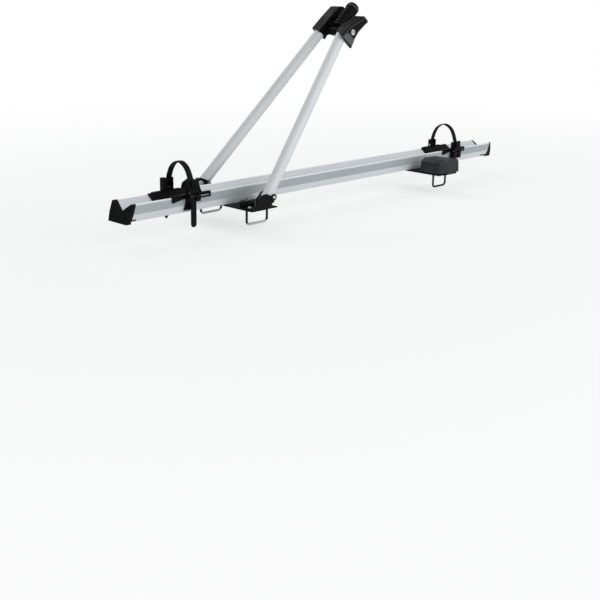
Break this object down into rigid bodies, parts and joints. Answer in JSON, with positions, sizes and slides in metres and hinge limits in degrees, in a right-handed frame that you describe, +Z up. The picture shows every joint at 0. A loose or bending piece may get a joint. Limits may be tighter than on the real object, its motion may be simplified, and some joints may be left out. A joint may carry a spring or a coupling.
{
  "type": "roof mounted bike carrier",
  "caption": "Roof rack bike carrier: a grooved rail on bar clamps, two strapped wheel trays and a folding pair of arms with a frame clamp.",
  "frame": {"origin": "middle of the front base plate's underside, where it rests on the front roof bar", "axes": "+X to the rear along the rail, +Y to the far side, +Z up"},
  "size_m": [1.481, 0.2963, 0.5292],
  "materials": {
    "rail_aluminium": "satin anodised",
    "tube_aluminium": "satin anodised",
    "black_plastic": "moulded",
    "black_steel": "powder coated",
    "zinc_steel": "zinc plated",
    "nylon": "natural nylon",
    "rubber": "ribbed",
    "strap_rubber": "moulded, with teeth",
    "pale_plastic": "moulded"
  },
  "bodies": {
    "carrier": {"rail": "rail_aluminium", "front_end_cap": "black_plastic", "rear_end_cap": "black_plastic", "front_base_plate": "black_steel", "front_rail_screws": "zinc_steel", "front_rail_nuts": "zinc_steel", "front_knob_washers": "zinc_steel", "foot_near": "black_steel", "foot_far": "black_steel", "foot_screws": "zinc_steel", "pivot_bolts": "zinc_steel", "pivot_nuts": "zinc_steel"},
    "arm": {"arm_tube_near": "tube_aluminium", "arm_tube_far": "tube_aluminium", "pivot_bushes": "nylon", "jaw_near": "black_plastic", "jaw_far": "black_plastic", "head_spindle": "zinc_steel", "barrel_nuts": "zinc_steel", "spindle_spacers": "black_plastic"},
    "handle": {"clamp_handle": "black_plastic", "handle_band": "pale_plastic"},
    "pad_near": {"clamp_pad_near": "black_plastic", "pad_rubber_near": "rubber"},
    "pad_far": {"clamp_pad_far": "black_plastic", "pad_rubber_far": "rubber"},
    "rear_bracket": {"rear_base_plate": "black_steel", "rear_rail_screws": "zinc_steel", "rear_rail_nuts": "zinc_steel", "rear_knob_washers": "zinc_steel", "rear_cover_pin": "zinc_steel"},
    "rear_cover": {"rear_cover": "black_plastic"},
    "front_tray": {"front_wheel_tray": "black_plastic", "front_buckle": "black_plastic", "front_lever_pin": "zinc_steel", "front_anchor_pin": "zinc_steel", "front_tray_screw": "zinc_steel", "front_wheel_strap": "strap_rubber"},
    "front_lever": {"front_buckle_lever": "black_plastic"},
    "rear_tray": {"rear_wheel_tray": "black_plastic", "rear_buckle": "black_plastic", "rear_lever_pin": "zinc_steel", "rear_anchor_pin": "zinc_steel", "rear_tray_screw": "zinc_steel", "rear_wheel_strap": "strap_rubber"},
    "rear_lever": {"rear_buckle_lever": "black_plastic"},
    "front_u_bolt_near": {"front_u_bolt_near": "zinc_steel"},
    "front_u_bolt_far": {"front_u_bolt_far": "zinc_steel"},
    "rear_u_bolt": {"rear_u_bolt": "zinc_steel"},
    "front_knob_near_fore": {"front_knob_near_fore": "black_plastic"},
    "front_knob_near_aft": {"front_knob_near_aft": "black_plastic"},
    "front_knob_far_fore": {"front_knob_far_fore": "black_plastic"},
    "front_knob_far_aft": {"front_knob_far_aft": "black_plastic"},
    "rear_nut_fore": {"rear_nut_fore": "zinc_steel"},
    "rear_nut_aft": {"rear_nut_aft": "zinc_steel"}
  },
  "joints": [
    {"name": "arm_fold", "type": "hinge", "parent": "carrier", "child": "arm", "pos_m": [0.003, 0, 0.031], "axis": [0, 1, 0], "range_deg": [-50, 39.5]},
    {"name": "handle_turn", "type": "hinge", "parent": "arm", "child": "handle", "pos_m": [0.37406, 0, 0.40919], "axis": [0, 1, 0], "range_deg": [-150, 0]},
    {"name": "pad_near_slide", "type": "slide", "parent": "arm", "child": "pad_near", "axis": [0, 1, 0], "range_m": [0, 0.005]},
    {"name": "pad_far_slide", "type": "slide", "parent": "arm", "child": "pad_far", "axis": [0, -1, 0], "range_m": [0, 0.005]},
    {"name": "rear_bracket_slide", "type": "slide", "parent": "carrier", "child": "rear_bracket", "axis": [1, 0, 0], "range_m": [-0.1, 0.1]},
    {"name": "rear_cover_open", "type": "hinge", "parent": "rear_bracket", "child": "rear_cover", "pos_m": [0.729, -0.1495, 0.0024], "axis": [1, 0, 0], "range_deg": [0, 100]},
    {"name": "front_tray_slide", "type": "slide", "parent": "carrier", "child": "front_tray", "axis": [1, 0, 0], "range_m": [-0.08, 0.08]},
    {"name": "rear_tray_slide", "type": "slide", "parent": "carrier", "child": "rear_tray", "axis": [1, 0, 0], "range_m": [-0.1, 0.08]},
    {"name": "front_lever_open", "type": "hinge", "parent": "front_tray", "child": "front_lever", "pos_m": [-0.175, -0.0539, 0.054], "axis": [1, 0, 0], "range_deg": [0, 110]},
    {"name": "rear_lever_open", "type": "hinge", "parent": "rear_tray", "child": "rear_lever", "pos_m": [0.902, -0.0539, 0.042], "axis": [1, 0, 0], "range_deg": [0, 110]},
    {"name": "front_u_bolt_near_lift", "type": "slide", "parent": "carrier", "child": "front_u_bolt_near", "axis": [0, 0, 1], "range_m": [-0.012, 0.01]},
    {"name": "front_u_bolt_far_lift", "type": "slide", "parent": "carrier", "child": "front_u_bolt_far", "axis": [0, 0, 1], "range_m": [-0.012, 0.01]},
    {"name": "rear_u_bolt_lift", "type": "slide", "parent": "rear_bracket", "child": "rear_u_bolt", "axis": [0, 0, 1], "range_m": [-0.01, 0.006]},
    {"name": "front_knob_near_fore_turn", "type": "hinge", "parent": "carrier", "child": "front_knob_near_fore", "pos_m": [-0.035, -0.0855, 0.006], "axis": [0, 0, 1], "continuous": true},
    {"name": "front_knob_near_aft_turn", "type": "hinge", "parent": "carrier", "child": "front_knob_near_aft", "pos_m": [0.035, -0.0855, 0.006], "axis": [0, 0, 1], "continuous": true},
    {"name": "front_knob_far_fore_turn", "type": "hinge", "parent": "carrier", "child": "front_knob_far_fore", "pos_m": [-0.035, 0.0855, 0.006], "axis": [0, 0, 1], "continuous": true},
    {"name": "front_knob_far_aft_turn", "type": "hinge", "parent": "carrier", "child": "front_knob_far_aft", "pos_m": [0.035, 0.0855, 0.006], "axis": [0, 0, 1], "continuous": true},
    {"name": "rear_nut_fore_turn", "type": "hinge", "parent": "rear_bracket", "child": "rear_nut_fore", "pos_m": [0.699, -0.114, 0.006], "axis": [0, 0, 1], "continuous": true},
    {"name": "rear_nut_aft_turn", "type": "hinge", "parent": "rear_bracket", "child": "rear_nut_aft", "pos_m": [0.759, -0.114, 0.006], "axis": [0, 0, 1], "continuous": true}
  ],
  "couplings": [
    {"joint": "pad_near_slide", "follows": "handle_turn", "m_per_rad": -0.0019},
    {"joint": "pad_far_slide", "follows": "handle_turn", "m_per_rad": -0.0019}
  ]
}
